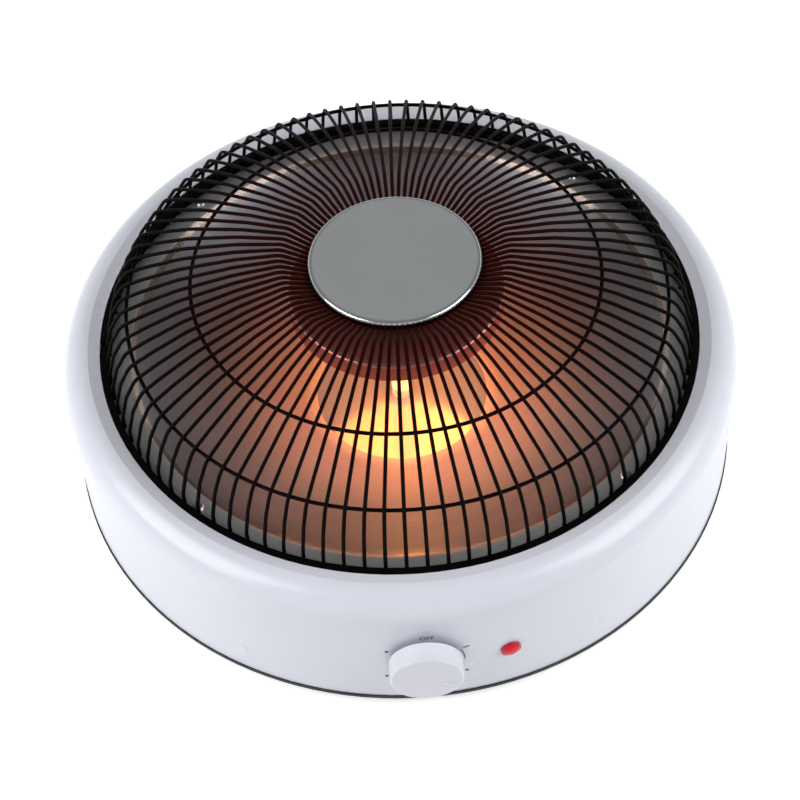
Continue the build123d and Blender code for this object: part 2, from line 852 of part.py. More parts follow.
# Switch case: block behind the dial with a round cam chamber, open at the back, and a threaded bush
case_front = dial_face - dial_plate
case_back = case_front - switch_depth
chamber_front = case_front - switch_wall
bush_bore = shaft_radius + running_gap
with BuildPart() as switch_case:
    with BuildSketch(front_plane(case_back, knob_height)):
        RectangleRounded(switch_width, switch_width, switch_corner)
        Circle(cam_radius + cam_room, mode=Mode.SUBTRACT)
    extrude(amount=switch_depth - switch_wall)
    with BuildSketch(front_plane(chamber_front, knob_height)):
        RectangleRounded(switch_width, switch_width, switch_corner)
        Circle(bush_bore, mode=Mode.SUBTRACT)
    extrude(amount=switch_wall)
    with BuildSketch(front_plane(case_front, knob_height)):
        Circle(bush_radius)
        Circle(bush_bore, mode=Mode.SUBTRACT)
    extrude(amount=dial_plate + bush_stand)
finish(switch_case, "switch_case")

# Back cover of the switch with its three blade terminals
cover_back = case_back - switch_wall
with BuildPart() as switch_cover:
    with BuildSketch(front_plane(cover_back, knob_height)):
        RectangleRounded(switch_width, switch_width, switch_corner)
    extrude(amount=switch_wall)
finish(switch_cover, "switch_cover")
with BuildPart() as switch_blades:
    with BuildSketch(front_plane(cover_back, knob_height)):
        with GridLocations(blade_spacing, 0, 3, 1):
            Rectangle(blade_thickness, blade_width)
    extrude(amount=-blade_length)
finish(switch_blades, "switch_blades")

# Switch shaft with its cam, turning in the bush
cam_front = chamber_front - seat_gap
bush_end = dial_face + bush_stand
knob_back = dial_face + knob_gap
knob_face = knob_back + knob_length
shaft_end = knob_face - knob_face_wall
with BuildPart() as switch_shaft:
    with BuildSketch(front_plane(cam_front - cam_thickness, knob_height)):
        Circle(cam_radius)
    extrude(amount=cam_thickness)
    with BuildSketch(front_plane(cam_front, knob_height)):
        Circle(shaft_radius)
    extrude(amount=shaft_end - cam_front)
    # flat that keys the knob
    with BuildSketch(front_plane(bush_end + seat_gap, knob_height)):
        with Locations((0, shaft_radius)):
            Rectangle(2 * shaft_radius, shaft_radius)
    extrude(amount=shaft_end - bush_end, mode=Mode.SUBTRACT)
finish(switch_shaft, "switch_shaft")

with BuildPart() as bush_nut:
    with BuildSketch(front_plane(dial_face, knob_height)):
        RegularPolygon(bush_nut_flats / 2, 6, major_radius=False)
        Circle(bush_radius + running_gap, mode=Mode.SUBTRACT)
    extrude(amount=thin_nut_height)
finish(bush_nut, "bush_nut")

# Knob: hollow moulding with a keyed hub and a raised pointer
pointer_turn = 90 - pointer_angle
with BuildPart() as knob:
    with BuildSketch(front_plane(knob_back, knob_height)):
        Circle(knob_radius)
    with BuildSketch(front_plane(knob_face, knob_height)):
        Circle(knob_radius - knob_draft)
    loft()
    fillet(knob.faces().sort_by(Axis.Y)[0].edges(), knob_round)
    with BuildSketch(front_plane(knob_back, knob_height)):
        Circle(knob_radius - knob_wall)
    extrude(amount=knob_cavity, mode=Mode.SUBTRACT)
    hub_back = bush_end + seat_gap
    with BuildSketch(front_plane(hub_back, knob_height)):
        Circle(knob_hub_radius)
    extrude(amount=knob_back + knob_cavity - hub_back)
    bore = shaft_radius + push_gap
    with BuildSketch(front_plane(hub_back, knob_height)):
        Circle(bore)
        with Locations((0, bore + shaft_radius / 2 + push_gap)):
            Rectangle(2 * bore, 2 * bore, mode=Mode.SUBTRACT)
    extrude(amount=shaft_end + fit_gap - hub_back, mode=Mode.SUBTRACT)
    with BuildSketch(front_plane(knob_face, knob_height)):
        with Locations(
            Location(
                (pointer_centre * cos(radians(pointer_turn)), pointer_centre * sin(radians(pointer_turn))),
                pointer_turn,
            )
        ):
            SlotOverall(pointer_length, pointer_width)
    extrude(amount=pointer_height)
finish(knob, "knob")

# Indicator lamp: red domed lens with a thin rim over the wall, and its body behind the wall
lens_section = Plane(origin=lamp_plane.origin, x_dir=lamp_side, z_dir=(0, 0, -1))
lens_front = seat_gap + lens_rim
with BuildPart() as lamp_lens:
    with BuildSketch(lens_section):
        with BuildLine():
            Polyline(
                (0, lens_front + lens_rise),
                (0, seat_gap),
                (lens_radius, seat_gap),
                (lens_radius, lens_front),
                (lens_radius - lens_step, lens_front),
            )
            TangentArc(
                (0, lens_front + lens_rise), (lens_radius - lens_step, lens_front), tangent=(1, 0)
            )
        make_face()
    revolve(axis=Axis(origin=lamp_plane.origin, direction=lamp_out))
finish(lamp_lens, "lamp_lens")
with BuildPart() as lamp_body:
    with BuildSketch(lamp_plane.offset(seat_gap)):
        Circle(lamp_body_radius)
    extrude(amount=-lamp_body_length)
    with BuildSketch(lamp_plane.offset(seat_gap - lamp_body_length)):
        with GridLocations(lamp_pin_spacing, 0, 2, 1):
            Rectangle(lamp_pin_thickness, lamp_pin_width)
    extrude(amount=-lamp_pin_length)
finish(lamp_body, "lamp_body")

# Cord inlet: grommet gripping the notch's edges, with a tapered sleeve and a bore for the cord
wall_out = wall_outside(housing_bottom + inlet_height / 2)
neck_out = wall_out + seat_gap
neck_in = wall_out - housing_wall - 2 * seat_gap
inlet_bore_height = housing_bottom + inlet_height - inlet_width / 2


def notch_outline(grow):
    """The notch's shape, grown outwards at its sides and top, standing just over the base rim."""
    straight = inlet_height - inlet_width / 2 - fit_gap
    with Locations((0, fit_gap + straight / 2)):
        Rectangle(inlet_width + 2 * grow, straight)
    with Locations((0, fit_gap + straight)):
        Circle(inlet_width / 2 + grow)


with BuildPart() as cord_inlet:
    with BuildSketch(rear_plane(neck_in, housing_bottom)):
        notch_outline(-fit_gap)
    extrude(amount=neck_out - neck_in)
    with BuildSketch(rear_plane(neck_out, housing_bottom)):
        notch_outline(inlet_flange)
    extrude(amount=inlet_flange_thickness)
    with BuildSketch(rear_plane(neck_in, housing_bottom)):
        notch_outline(inlet_flange)
    extrude(amount=-inlet_flange_thickness)
    with BuildSketch(rear_plane(neck_out + inlet_flange_thickness, inlet_bore_height)):
        Circle(inlet_sleeve_root)
    with BuildSketch(
        rear_plane(neck_out + inlet_flange_thickness + inlet_sleeve_length, inlet_bore_height)
    ):
        Circle(inlet_sleeve_tip)
    loft()
    inlet_inside = neck_in - inlet_flange_thickness
    inlet_outside = neck_out + inlet_flange_thickness + inlet_sleeve_length
    with BuildSketch(rear_plane(inlet_inside, inlet_bore_height)):
        Circle(cord_bore_radius)
    extrude(amount=inlet_outside - inlet_inside, mode=Mode.SUBTRACT)
finish(cord_inlet, "cord_inlet")
print(
    "cord bore from y",
    round(inlet_inside, 3),
    "to",
    round(inlet_outside, 3),
    "at z",
    round(inlet_bore_height, 3),
)

# Cord clamp: saddle bridge on the base plate behind the inlet, with its two screws
with BuildPart() as cord_clamp:
    with BuildSketch(rear_plane(clamp_place - clamp_depth / 2, base_top)):
        with Locations((0, clamp_height / 2)):
            Rectangle(clamp_width, clamp_height)
        with Locations((0, cord_bore_radius)):
            Circle(cord_bore_radius, mode=Mode.SUBTRACT)
        with Locations((0, cord_bore_radius / 2)):
            Rectangle(2 * cord_bore_radius, cord_bore_radius, mode=Mode.SUBTRACT)
    extrude(amount=clamp_depth)
    with BuildSketch(Plane.XY.offset(base_top)):
        with Locations((-clamp_screw_x, clamp_place), (clamp_screw_x, clamp_place)):
            Circle(pilot_radius)
    extrude(amount=clamp_height, mode=Mode.SUBTRACT)
finish(cord_clamp, "cord_clamp")

# Terminal block on the base plate
with BuildPart() as terminal_block:
    with BuildSketch(Plane.XY.offset(base_top)):
        with Locations((0, block_place)):
            Rectangle(block_width, block_depth)
            Circle(pilot_radius, mode=Mode.SUBTRACT)
    extrude(amount=block_height)
finish(terminal_block, "terminal_block")

# Screws up through the base plate into the clamp and the block
with BuildPart() as inlet_screws:
    with Locations(
        (-clamp_screw_x, clamp_place, base_bottom),
        (clamp_screw_x, clamp_place, base_bottom),
        (0, block_place, base_bottom),
    ):
        add(pan_screw(screw_length))
finish(inlet_screws, "inlet_screws")
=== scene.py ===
import math

import bmesh
import bpy
from mathutils import Matrix, Vector


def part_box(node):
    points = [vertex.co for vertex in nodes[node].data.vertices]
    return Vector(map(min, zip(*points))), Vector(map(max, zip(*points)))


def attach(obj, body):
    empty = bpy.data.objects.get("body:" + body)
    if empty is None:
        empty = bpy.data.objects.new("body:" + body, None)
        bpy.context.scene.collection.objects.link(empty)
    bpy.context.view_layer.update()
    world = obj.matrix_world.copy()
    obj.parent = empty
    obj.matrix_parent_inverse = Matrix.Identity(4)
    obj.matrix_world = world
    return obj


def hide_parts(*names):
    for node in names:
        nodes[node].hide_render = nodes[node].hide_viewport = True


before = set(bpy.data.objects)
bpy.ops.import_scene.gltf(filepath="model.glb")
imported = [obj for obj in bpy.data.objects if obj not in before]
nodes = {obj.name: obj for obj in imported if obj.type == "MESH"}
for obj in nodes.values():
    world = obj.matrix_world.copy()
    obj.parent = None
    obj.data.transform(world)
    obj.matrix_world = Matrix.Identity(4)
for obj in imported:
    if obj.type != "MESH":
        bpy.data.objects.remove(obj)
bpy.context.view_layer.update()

# Guard wires, in metres: each follows one line of (distance from the axis, height above the rim)
RIM_HEIGHT = 0.1035
WIRE_COUNT = 96
WIRE_PHASE = math.radians(2.2)
WIRE_RADIUS = 0.00118
WIRE_LINE = [
    (0.0460, 0.0527),
    (0.0705, 0.0623),
    (0.1000, 0.0579),
    (0.1350, 0.0490),
    (0.1580, 0.0400),
    (0.1725, 0.0333),
    (0.1800, 0.0205),
    (0.1849, 0.0040),
    (0.1849, -0.0060),
]
WIRE_BENDS = [0.012, 0.060, 0.060, 0.050, 0.012, 0.012, 0.020]

# Bends: the steps that round each one, and the most that it takes of the runs beside it
BEND_STEPS = 5
BEND_SHARE = 0.45

# Guard rings: the middle line lies RING_INSET radii inside the outer edge of the replaced ring
RING_RADIUS = 0.0012
RING_INSET = 1.06
RING_STEPS = 192

# Dial marks, in metres, and in degrees clockwise from the top: each dot is (angle, radius)
LETTERS_SIZE = 0.0050
LETTERS_WEIGHT = 0.0001
LETTERS_PLACE = (0.0013, 0.0249, 0)
MARK_DOTS = [(120.0, 0.0279), (239.0, 0.0272), (301.0, 0.0262)]
DOT_RADIUS = 0.0012
DOT_SIDES = 16
TICK_ANGLE = 62.0
TICK_ENDS = (0.0250, 0.0292)
TICK_WIDTH = 0.0012
ARC_ANGLES = (63.0, 92.0)
ARC_RADII = (0.0226, 0.0234)
ARC_STEPS = 12
INK_LIFT = 0.00004

# Glow of the core and coil: its colour, strength, level from -X to +X and, on the core, by height
HEAT_COLOUR = (1.0, 0.30, 0.050)
HEAT_STRENGTH = 9.2
HEAT_SIDES = [(-0.065, 0.50), (0.065, 1.0)]
CORE_LEVELS = [
    (0.0340, 0.08),
    (0.0405, 0.10),
    (0.0440, 0.75),
    (0.0560, 0.70),
    (0.1000, 0.45),
    (0.1120, 1.0),
    (0.1175, 1.0),
    (0.1185, 0.0),
]

# Deflector: the faint glow painted on it for the core's light from below, with its level by height,
# and the radii of its bend, skirt and outer edge
DEFLECTOR_GLOW = (1.0, 0.19, 0.06)
DEFLECTOR_STRENGTH = 0.20
DEFLECTOR_LEVELS = [(0.1280, 1.0), (0.1390, 0.6), (0.1405, 0.0)]
DEFLECTOR_BEND = 0.0655
DEFLECTOR_SKIRT = 0.0675
DEFLECTOR_EDGE = 0.0683

# Cap: the radii between which its brushed top turns into its polished edge
CAP_TOP = 0.0505
CAP_EDGE = 0.052

# Guard: how far from the axis the core's red light is painted onto its enamel
RED_SPILL_REACH = 0.14

# Dish, by distance from the axis: its colour, and how metallic and how rough it is. It is polished on
# the floor, hazed by heat on the side, polished again on the bend at 0.170 and dull on the flange
DISH_TONES = [
    (0.050, (0.66, 0.61, 0.58)),
    (0.057, (0.66, 0.57, 0.56)),
    (0.066, (0.43, 0.37, 0.45)),
    (0.120, (0.225, 0.237, 0.285)),
    (0.160, (0.215, 0.227, 0.265)),
    (0.1690, (0.27, 0.27, 0.28)),
    # The warm tone from 0.1696 to 0.1718 is a painted orange reflection of the core on the bend, over
    # the real reflection of its polished surface
    (0.1696, (0.46, 0.35, 0.29)),
    (0.1718, (0.46, 0.36, 0.31)),
    (0.1724, (0.41, 0.415, 0.42)),
    (0.190, (0.40, 0.405, 0.41)),
]
DISH_METAL = [
    (0.050, 0.55),
    (0.057, 0.58),
    (0.062, 0.78),
    (0.160, 0.82),
    (0.1718, 0.93),
    (0.1724, 0.5),
    (0.190, 0.5),
]
DISH_ROUGHNESS = [
    (0.050, 0.13),
    (0.0555, 0.14),
    (0.0575, 0.42),
    (0.100, 0.46),
    (0.158, 0.44),
    (0.1685, 0.30),
    (0.1694, 0.15),
    (0.1718, 0.15),
    (0.1724, 0.42),
    (0.190, 0.45),
]

# Lamp lens: its glow by distance from its middle
LENS_CORE = 0.001
LENS_RIM = 0.0065

# Floor and world: a pale background, which lights the object less than it shows
FLOOR_HALF = 6.0
FLOOR_GREY = 0.82
FLOOR_GLOW = 0.6
WORLD_SHARE = 0.44
SKY_LEVELS = [(0.20, 1.0), (0.62, 0.10), (1.0, 0.07)]

# Lamps: one square lamp on each side, a little in front of the object
LAMP_SIDE = 1.20
LAMP_FRONT = -0.42
LAMP_HEIGHT = 1.05
LAMP_TARGET = Vector((0, 0, 0.05))
LAMP_SIZE = 1.2
LEFT_POWER = 18.5
RIGHT_POWER = 17.5

# Camera: it stands where the photograph was taken, round the axis at the rim's height
CAMERA_DISTANCE = 1.1385
CAMERA_ELEVATION = math.radians(48.91)
CAMERA_AZIMUTH = math.radians(-1.3)
CAMERA_PAN = math.radians(0.083)
CAMERA_TILT = math.radians(-2.488)
CAMERA_ROLL = math.radians(3.213)
FOCAL_PIXELS = 1781.2
FRAME_PIXELS = 800
SENSOR_WIDTH = 36.0


def add_object(name, data):
    """A new object in the scene."""
    made = bpy.data.objects.new(name, data)
    bpy.context.scene.collection.objects.link(made)
    return made


# Shader nodes

def node_tree(material):
    """The material's nodes and links, with its Principled shader."""
    material.use_nodes = True
    tree = material.node_tree
    return tree, tree.nodes["Principled BSDF"]


def new_material(name):
    """A new material, with its tree and its shader."""
    material = bpy.data.materials.new(name)
    return (material, *node_tree(material))


def add_node(tree, kind, **settings):
    """A new node with its properties, or input values by name, set."""
    node = tree.nodes.new(kind)
    for name, value in settings.items():
        if hasattr(node, name):
            setattr(node, name, value)
        else:
            node.inputs[name.replace("_", " ")].default_value = value
    return node


def put(tree, socket, value):
    """Sets a socket to a number or a colour, or links another socket to it."""
    if isinstance(value, tuple):
        socket.default_value = (*value, 1.0)
    elif isinstance(value, (int, float)):
        socket.default_value = value
    else:
        tree.links.new(value, socket)


def set_shader(tree, shader, **values):
    """Sets or links the shader's inputs, named with _ for each space."""
    for name, value in values.items():
        put(tree, shader.inputs[name.replace("_", " ")], value)


def noise(tree, scale, detail=2.0, stretch=(1.0, 1.0, 1.0)):
    """Object-space noise, drawn out along an axis where its stretch is small."""
    place = add_node(tree, "ShaderNodeTexCoord")
    mapping = add_node(tree, "ShaderNodeMapping", Scale=stretch)
    texture = add_node(tree, "ShaderNodeTexNoise", Scale=scale, Detail=detail)
    tree.links.new(place.outputs["Object"], mapping.inputs["Vector"])
    tree.links.new(mapping.outputs["Vector"], texture.inputs["Vector"])
    return texture.outputs["Fac"]


def place_parts(tree):
    """X, Y and Z of the shaded point in the model's frame."""
    place = add_node(tree, "ShaderNodeTexCoord")
    parts = add_node(tree, "ShaderNodeSeparateXYZ")
    tree.links.new(place.outputs["Object"], parts.inputs["Vector"])
    return parts.outputs


def axis_distance(tree):
    """Distance of the shaded point from the Z axis."""
    parts = place_parts(tree)
    flat = add_node(tree, "ShaderNodeCombineXYZ")
    length = add_node(tree, "ShaderNodeVectorMath", operation="LENGTH")
    tree.links.new(parts["X"], flat.inputs["X"])
    tree.links.new(parts["Y"], flat.inputs["Y"])
    tree.links.new(flat.outputs["Vector"], length.inputs[0])
    return length.outputs["Value"]


def ring_noise(tree, scale, detail=3.0):
    """Noise that changes only with the distance from the Z axis, like turning marks."""
    texture = add_node(tree, "ShaderNodeTexNoise", noise_dimensions="1D", Scale=scale, Detail=detail)
    tree.links.new(axis_distance(tree), texture.inputs["W"])
    return texture.outputs["Fac"]


def shade(colour, factor):
    """A colour made lighter or darker."""
    return tuple(min(1.0, part * factor) for part in colour)


def grey(level):
    """A neutral colour."""
    return (level, level, level)


def ramp(tree, source, stops):
    """A colour ramp on a value: stops are (value, colour)."""
    node = add_node(tree, "ShaderNodeValToRGB")
    elements = node.color_ramp.elements
    while len(elements) < len(stops):
        elements.new(0.5)
    for element, (position, colour) in zip(elements, stops):
        element.position = position
        element.color = (*colour, 1.0)
    tree.links.new(source, node.inputs["Fac"])
    return node.outputs["Color"]


def mottled(tree, source, colour, dark, light=1.0, edge=0.3):
    """A colour that varies with a value between a darker and a lighter tone."""
    return ramp(tree, source, [(edge, shade(colour, dark)), (1.0 - edge, shade(colour, light))])


def spread(tree, source, low, high, start=0.0, end=1.0):
    """A value remapped from start..end to low..high."""
    node = add_node(
        tree, "ShaderNodeMapRange", From_Min=start, From_Max=end, To_Min=low, To_Max=high
    )
    tree.links.new(source, node.inputs["Value"])
    return node.outputs["Result"]


def graded(tree, length, stops):
    """A colour that follows a length in metres: stops are (length, colour)."""
    start, end = stops[0][0], stops[-1][0]
    share = spread(tree, length, 0.0, 1.0, start, end)
    return ramp(tree, share, [((place - start) / (end - start), colour) for place, colour in stops])


def graded_level(tree, length, stops):
    """A plain level that follows a length in metres: stops are (length, level)."""
    return graded(tree, length, [(place, grey(level)) for place, level in stops])


def math_node(tree, operation, first, second):
    """Arithmetic on two sockets or numbers."""
    node = add_node(tree, "ShaderNodeMath", operation=operation)
    for socket, value in zip(node.inputs, (first, second)):
        put(tree, socket, value)
    return node.outputs["Value"]


def blend_colours(tree, share, first, second, kind="MIX"):
    """Two colours, as sockets or numbers, mixed by a share."""
    node = add_node(tree, "ShaderNodeMix", data_type="RGBA", blend_type=kind)
    put(tree, node.inputs[0], share)
    put(tree, node.inputs[6], first)
    put(tree, node.inputs[7], second)
    return node.outputs[2]


def product(tree, colour, *others):
    """Colours multiplied together."""
    for other in others:
        colour = blend_colours(tree, 1.0, colour, other, kind="MULTIPLY")
    return colour


def bump(tree, shader, source, strength, distance):
    """Bump from a value, in metres, over any bump that the shader has already."""
    node = add_node(tree, "ShaderNodeBump", Strength=strength, Distance=distance)
    tree.links.new(source, node.inputs["Height"])
    if shader.inputs["Normal"].links:
        tree.links.new(shader.inputs["Normal"].links[0].from_socket, node.inputs["Normal"])
    tree.links.new(node.outputs["Normal"], shader.inputs["Normal"])


# Materials

def moulded(name, colour, rough=0.25):
    """Moulded plastic: slight mottling, uneven gloss and a fine skin."""
    material, tree, shader = new_material(name)
    broad = noise(tree, scale=18.0, detail=3.0)
    fine = noise(tree, scale=900.0)
    set_shader(
        tree, shader,
        Base_Color=mottled(tree, broad, colour, dark=0.975),
        Roughness=spread(tree, broad, low=rough * 0.85, high=rough * 1.2),
        Coat_Weight=0.25,
        Coat_Roughness=0.3,
    )
    bump(tree, shader, fine, strength=0.03, distance=0.0002)
    return material


def enamel(name, colour, rough, level=0.2):
    """Baked enamel on wire or sheet: slightly lumpy satin with a few duller patches."""
    material, tree, shader = new_material(name)
    lumps = noise(tree, scale=320.0, detail=3.0)
    broad = noise(tree, scale=30.0)
    set_shader(
        tree, shader,
        Base_Color=mottled(tree, broad, colour, dark=0.7, light=1.35, edge=0.35),
        Roughness=spread(tree, lumps, low=rough * 0.8, high=rough * 1.2),
        Specular_IOR_Level=level,
    )
    bump(tree, shader, lumps, strength=0.12, distance=0.0002)
    return material


def paint_red_spill(material, spill_red, reach):
    """Reddens an enamel and tints its reflections red towards the axis: painted red light of the core
    spilling onto the wires.
    """
    tree, shader = node_tree(material)
    bare_enamel = shader.inputs["Base Color"].links[0].from_socket
    share = spread(tree, axis_distance(tree), low=1.0, high=0.0, start=reach * 0.6, end=reach)
    set_shader(
        tree, shader,
        Base_Color=blend_colours(tree, share, bare_enamel, spill_red),
        Specular_Tint=blend_colours(tree, share, (1.0, 0.9, 0.9), (1.0, 0.2, 0.15)),
    )


def brushed(name, colour, rough, metallic=1.0, stretch=(1.0, 1.0, 1.0), depth=0.06, contrast=0.12):
    """Metal with a fine grain, drawn out along an axis where its stretch is small."""
    material, tree, shader = new_material(name)
    grain = noise(tree, scale=2200.0, detail=3.0, stretch=stretch)
    broad = noise(tree, scale=22.0)
    set_shader(
        tree, shader,
        Base_Color=mottled(tree, grain, colour, dark=1 - contrast, light=1 + contrast, edge=0.25),
        Metallic=metallic,
        Roughness=spread(tree, broad, low=rough * 0.9, high=rough * 1.1),
    )
    bump(tree, shader, grain, strength=depth, distance=0.0001)
    return material


def polish_edge(material, start, end, rough):
    """Brings a material's roughness to another value towards a radius, as on a buffed edge."""
    tree, shader = node_tree(material)
    plain = shader.inputs["Roughness"].links[0].from_socket
    keep = spread(tree, axis_distance(tree), low=1.0, high=0.0, start=start, end=end)
    inside = math_node(tree, "MULTIPLY", plain, keep)
    edge = math_node(tree, "MULTIPLY", math_node(tree, "SUBTRACT", 1.0, keep), rough)
    set_shader(tree, shader, Roughness=math_node(tree, "ADD", inside, edge))


def paint_highlight_ring(material, colour, start, end):
    """Blends a material's colour to another in a ring about the Z axis: a painted highlight, as on
    the bright edge of a bend.
    """
    tree, shader = node_tree(material)
    plain = shader.inputs["Base Color"].links[0].from_socket
    soft = (end - start) / 4
    share = graded_level(tree, axis_distance(tree), [
        (start - soft, 0.0), (start + soft, 1.0), (end - soft, 1.0), (end, 0.0),
    ])
    set_shader(tree, shader, Base_Color=blend_colours(tree, share, plain, colour))


def spun_dish(name):
    """Spun aluminium with turning marks and waves, polished, hazed and dull by the dish's tables."""
    material, tree, shader = new_material(name)
    stain = graded(tree, axis_distance(tree), DISH_TONES)
    patches = mottled(tree, noise(tree, scale=9.0, detail=3.0), grey(1.0), dark=0.78, edge=0.32)
    marks = ring_noise(tree, scale=700.0)
    lines = mottled(tree, marks, grey(1.0), dark=0.9)
    set_shader(
        tree, shader,
        Base_Color=product(tree, stain, patches, lines),
        Metallic=graded_level(tree, axis_distance(tree), DISH_METAL),
        Roughness=graded_level(tree, axis_distance(tree), DISH_ROUGHNESS),
    )
    bump(tree, shader, ring_noise(tree, scale=55.0, detail=1.0), strength=0.35, distance=0.0012)
    bump(tree, shader, marks, strength=0.05, distance=0.0001)
    return material


def matt(name, colour, rough, scale=300.0, grain=0.2):
    """Matt plastic, rubber or ceramic with a grainy surface."""
    material, tree, shader = new_material(name)
    fine = noise(tree, scale=scale, detail=4.0)
    set_shader(
        tree, shader,
        Base_Color=mottled(tree, fine, colour, dark=0.8, light=1.15),
        Roughness=spread(tree, fine, low=rough * 0.85, high=min(1.0, rough * 1.15)),
    )
    bump(tree, shader, fine, strength=grain, distance=0.0003)
    return material


def add_glow(material, colour, strength, levels=None):
    """Adds a glow that is uneven and weaker towards -X, with any levels given as (height, level)."""
    tree, shader = node_tree(material)
    parts = place_parts(tree)
    patches = mottled(tree, noise(tree, scale=60.0), colour, dark=0.85)
    glow = product(tree, patches, graded_level(tree, parts["X"], HEAT_SIDES))
    if levels:
        glow = product(tree, glow, graded_level(tree, parts["Z"], levels))
    set_shader(tree, shader, Emission_Color=glow, Emission_Strength=strength)


def lit_lens(name, colour, glow, strength):
    """Clear red plastic with a lamp behind it: brightest in its middle, with a fluted skin."""
    material = matt(name, colour, rough=0.22, scale=700.0, grain=0.08)
    tree, shader = node_tree(material)
    low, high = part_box("lamp_lens")
    place = add_node(tree, "ShaderNodeTexCoord")
    gap = add_node(tree, "ShaderNodeVectorMath", operation="DISTANCE")
    tree.links.new(place.outputs["Object"], gap.inputs[0])
    gap.inputs[1].default_value = (low + high) / 2
    light = graded(tree, gap.outputs["Value"], [(LENS_CORE, glow), (LENS_RIM, shade(glow, 0.12))])
    set_shader(tree, shader, Emission_Color=light, Emission_Strength=strength, Specular_IOR_Level=0.3)
    flutes = add_node(tree, "ShaderNodeTexVoronoi", Scale=650.0)
    tree.links.new(place.outputs["Object"], flutes.inputs["Vector"])
    bump(tree, shader, flutes.outputs["Distance"], strength=0.3, distance=0.0004)
    return material


def dress(material, *names):
    """Gives nodes a material in place of their plain one."""
    for name in names:
        mesh = nodes[name].data
        mesh.materials.clear()
        mesh.materials.append(material)


# White mouldings
dress(moulded("housing_white", (0.76, 0.785, 0.87)), "housing_shell")
dress(moulded("knob_white", (0.78, 0.79, 0.86), rough=0.22), "knob")

# Black enamel of the guard, with the core's red light painted on it towards the hub
guard_enamel = enamel("guard_black", (0.0015, 0.0015, 0.0016), rough=0.5, level=0.05)
paint_red_spill(guard_enamel, spill_red=(0.016, 0.0025, 0.002), reach=RED_SPILL_REACH)
dress(guard_enamel, "rim_band", "guard_ring_rim", "hub_plate")

# Dark paint of the base
dress(enamel("base_grey", (0.02, 0.02, 0.024), rough=0.45), "base_plate")

# Cap: steel brushed along X, with a polished edge
cap_steel = brushed(
    "cap_steel", (0.66, 0.685, 0.70),
    rough=0.42, metallic=0.8, stretch=(0.02, 1.0, 1.0), depth=0.04, contrast=0.05,
)
polish_edge(cap_steel, start=CAP_TOP, end=CAP_EDGE, rough=0.10)
dress(cap_steel, "hub_cap")

# Zinc-plated fixings
dress(
    brushed("zinc", (0.55, 0.55, 0.56), rough=0.35, depth=0.03),
    "base_screws", "foot_screws", "foot_nuts", "dish_screws", "inlet_screws", "bush_nut",
    "hub_stud", "deflector_spacer", "deflector_nut",
    "core_rod", "core_nuts", "core_mount_plate", "coil_terminals",
)

# Reflector
dress(spun_dish("dish_aluminium"), "reflector_dish")

# Deflector: heat-stained steel, polished on its bent edge with a painted highlight there, and a
# painted glow for the core's light from below
deflector_metal = brushed("deflector_steel", (0.50, 0.14, 0.115), rough=0.35, metallic=0.5)
polish_edge(deflector_metal, start=DEFLECTOR_BEND, end=DEFLECTOR_SKIRT, rough=0.14)
paint_highlight_ring(deflector_metal, (0.50, 0.22, 0.19), start=DEFLECTOR_BEND, end=DEFLECTOR_EDGE)
# Painted light: a faint glow standing in for the core's light falling on the deflector from below
add_glow(deflector_metal, DEFLECTOR_GLOW, DEFLECTOR_STRENGTH, DEFLECTOR_LEVELS)
dress(deflector_metal, "heat_deflector")

# Core and coil, which glow, and the core's plain ceramic cap
CERAMIC_COLOUR = (0.75, 0.70, 0.62)
hot_ceramic = matt("core_ceramic", CERAMIC_COLOUR, rough=0.6)
add_glow(hot_ceramic, HEAT_COLOUR, HEAT_STRENGTH, CORE_LEVELS)
dress(hot_ceramic, "heating_core")
dress(matt("cap_ceramic", CERAMIC_COLOUR, rough=0.6), "core_top_cap")
hot_coil = matt("coil_hot", (0.25, 0.18, 0.15), rough=0.5)
add_glow(hot_coil, HEAT_COLOUR, HEAT_STRENGTH)
dress(hot_coil, "heating_coil")

# Rubber feet
dress(
    matt("foot_rubber", (0.02, 0.02, 0.02), rough=0.8),
    *[name for name in nodes if name.startswith("foot_") and name[5:].isdigit()],
)

# Electrical pieces
dress(
    matt("black_plastic", (0.03, 0.03, 0.03), rough=0.5),
    "cord_inlet", "cord_clamp", "switch_case", "switch_cover", "lamp_body", "thermal_cutout",
)
dress(matt("ivory_plastic", (0.70, 0.68, 0.60), rough=0.5), "terminal_block", "switch_shaft")
dress(brushed("brass", (0.72, 0.52, 0.22), rough=0.3), "switch_blades")
dress(lit_lens("lamp_red", (0.50, 0.004, 0.016), glow=(1.0, 0.02, 0.05), strength=0.35), "lamp_lens")

# Dial ink
ink = matt("dial_ink", (0.05, 0.05, 0.055), rough=0.6, grain=0.05)


# Guard wires and rings

def frozen_mesh(piece):
    """The mesh of a curve or text object, which is removed."""
    graph = bpy.context.evaluated_depsgraph_get()
    mesh = bpy.data.meshes.new_from_object(piece.evaluated_get(graph))
    bpy.data.objects.remove(piece)
    return mesh


def rounded_line(points, radii):
    """Points of a line in (radius, height) with its corners rounded."""
    line = [Vector(points[0])]
    for before, corner, after, radius in zip(points, points[1:], points[2:], radii):
        corner = Vector(corner)
        back = Vector(before) - corner
        ahead = Vector(after) - corner
        turn = math.pi - back.angle(ahead)
        reach = min(radius * math.tan(turn / 2), BEND_SHARE * back.length, BEND_SHARE * ahead.length)
        start = corner + back.normalized() * reach
        end = corner + ahead.normalized() * reach
        for step in range(BEND_STEPS + 1):
            t = step / BEND_STEPS
            line.append(start * (1 - t) ** 2 + corner * 2 * t * (1 - t) + end * t ** 2)
    line.append(Vector(points[-1]))
    return line


